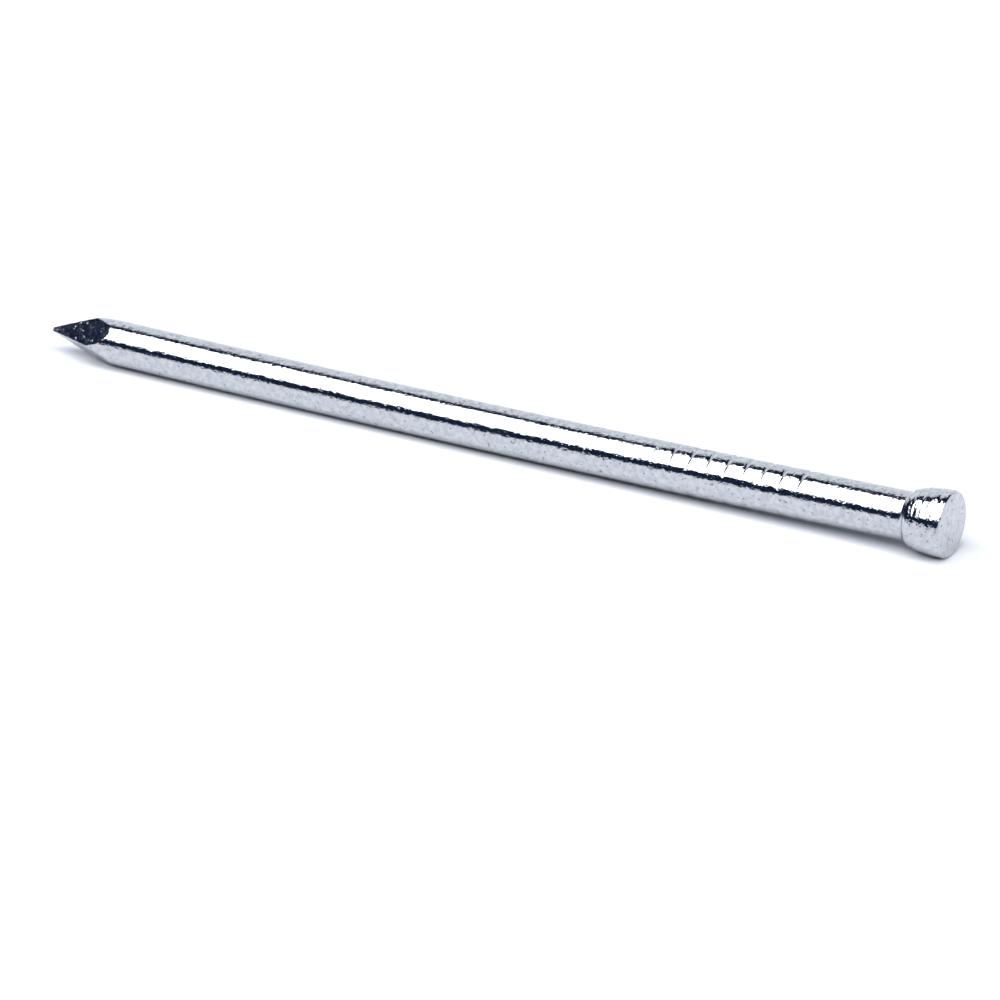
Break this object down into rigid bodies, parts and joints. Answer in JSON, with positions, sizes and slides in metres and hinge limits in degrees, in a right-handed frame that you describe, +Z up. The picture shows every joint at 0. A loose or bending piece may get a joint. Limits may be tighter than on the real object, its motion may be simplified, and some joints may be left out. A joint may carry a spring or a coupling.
{
  "type": "lost-head wire nail",
  "caption": "Round bright steel lost-head wire nail: plain shank, short barrel-shaped head a little wider than the wire, grip marks below it and a four-sided diamond point.",
  "frame": {"origin": "bottom centre of the nail's box as it lies at rest on its head's lower edge and on the shank beside the point", "axes": "+X along the nail towards the head, +Z up; the nail's own axis leans up from +X by half a degree, because the head is wider than the shank"},
  "size_m": [0.065, 0.004, 0.0041],
  "materials": {
    "bright_steel": "bright drawn wire, smooth and shiny, with fine drawing lines and small pits"
  },
  "bodies": {
    "root": {"nail": "bright_steel"}
  },
  "joints": []
}
